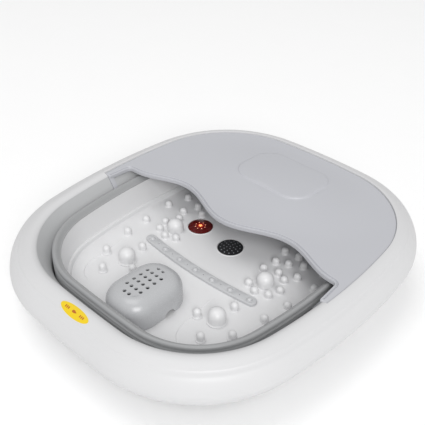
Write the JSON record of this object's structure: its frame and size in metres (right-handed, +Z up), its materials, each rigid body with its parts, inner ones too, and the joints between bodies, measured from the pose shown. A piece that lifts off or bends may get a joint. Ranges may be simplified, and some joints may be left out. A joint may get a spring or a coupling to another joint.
{
  "type": "foldable foot spa basin",
  "caption": "Folding foot bath with a bellows wall, half cover, air bubble strip, water heater, red lamp and massage knobs, stored folded flat.",
  "frame": {"origin": "middle of the folded basin's bounding box, at the ground under its rubber feet", "axes": "+Z up, +Y from the heel end with the water heater to the toe end under the half cover, +X to the user's right"},
  "size_m": [0.41, 0.4548, 0.0988],
  "materials": {
    "white_abs": "moulded, soft gloss",
    "grey_abs": "moulded, satin",
    "grey_tpe": "moulded elastomer, matt",
    "frosted_pc": "moulded, satin",
    "red_lens": "clear red lens, polished",
    "black_abs": "moulded, satin",
    "silicone": "translucent, matt",
    "rubber": "moulded, matt",
    "circuit_board": "solder mask",
    "ferrite": "sintered",
    "stainless": "rolled and brushed",
    "heater_aluminium": "extruded",
    "smoked_window": "smoked, polished",
    "yellow_badge": "printed vinyl",
    "button_abs": "moulded, satin"
  },
  "bodies": {
    "base": {"tub": "white_abs", "base_housing": "white_abs", "rim_band": "grey_tpe", "bellows": "grey_tpe", "vent_cover": "grey_abs", "bubble_strip": "frosted_pc", "lamp_lens": "red_lens", "lamp_seal": "silicone", "lamp_board": "circuit_board", "magnet_cap": "black_abs", "magnet_seal": "silicone", "magnet_core": "ferrite", "heater_plate": "stainless", "heater_gasket": "silicone", "heater_element": "heater_aluminium", "thermal_cutout": "stainless", "air_pump": "black_abs", "pump_motor": "stainless", "pump_mounts": "silicone", "air_hose": "silicone", "control_board": "circuit_board", "key_switches": "black_abs", "control_panel": "grey_abs", "display_window": "smoked_window", "lead_gland": "rubber", "rubber_feet": "rubber", "housing_screws": "stainless"},
    "ring": {"ring_shell": "white_abs", "ring_liner": "white_abs", "badge": "yellow_badge"},
    "lid": {"lid": "grey_abs"},
    "button_power": {"button_power": "button_abs"},
    "button_heat": {"button_heat": "button_abs"},
    "button_bubble": {"button_bubble": "button_abs"},
    "button_lamp": {"button_lamp": "button_abs"}
  },
  "joints": [
    {"name": "ring_lift", "type": "slide", "parent": "base", "child": "ring", "axis": [0, 0, 1], "range_m": [0, 0.09], "deforming": ["bellows"]},
    {"name": "cover_lift_off", "type": "slide", "parent": "ring", "child": "lid", "axis": [0, 0, 1], "range_m": [0, 0.06]},
    {"name": "press_power", "type": "slide", "parent": "base", "child": "button_power", "axis": [0, -1, 0], "range_m": [0, 0.0012], "stiffness_N_per_m": 900, "springref_m": -0.0008},
    {"name": "press_heat", "type": "slide", "parent": "base", "child": "button_heat", "axis": [0, -1, 0], "range_m": [0, 0.0012], "stiffness_N_per_m": 900, "springref_m": -0.0008},
    {"name": "press_bubble", "type": "slide", "parent": "base", "child": "button_bubble", "axis": [0, -1, 0], "range_m": [0, 0.0012], "stiffness_N_per_m": 900, "springref_m": -0.0008},
    {"name": "press_lamp", "type": "slide", "parent": "base", "child": "button_lamp", "axis": [0, -1, 0], "range_m": [0, 0.0012], "stiffness_N_per_m": 900, "springref_m": -0.0008}
  ]
}
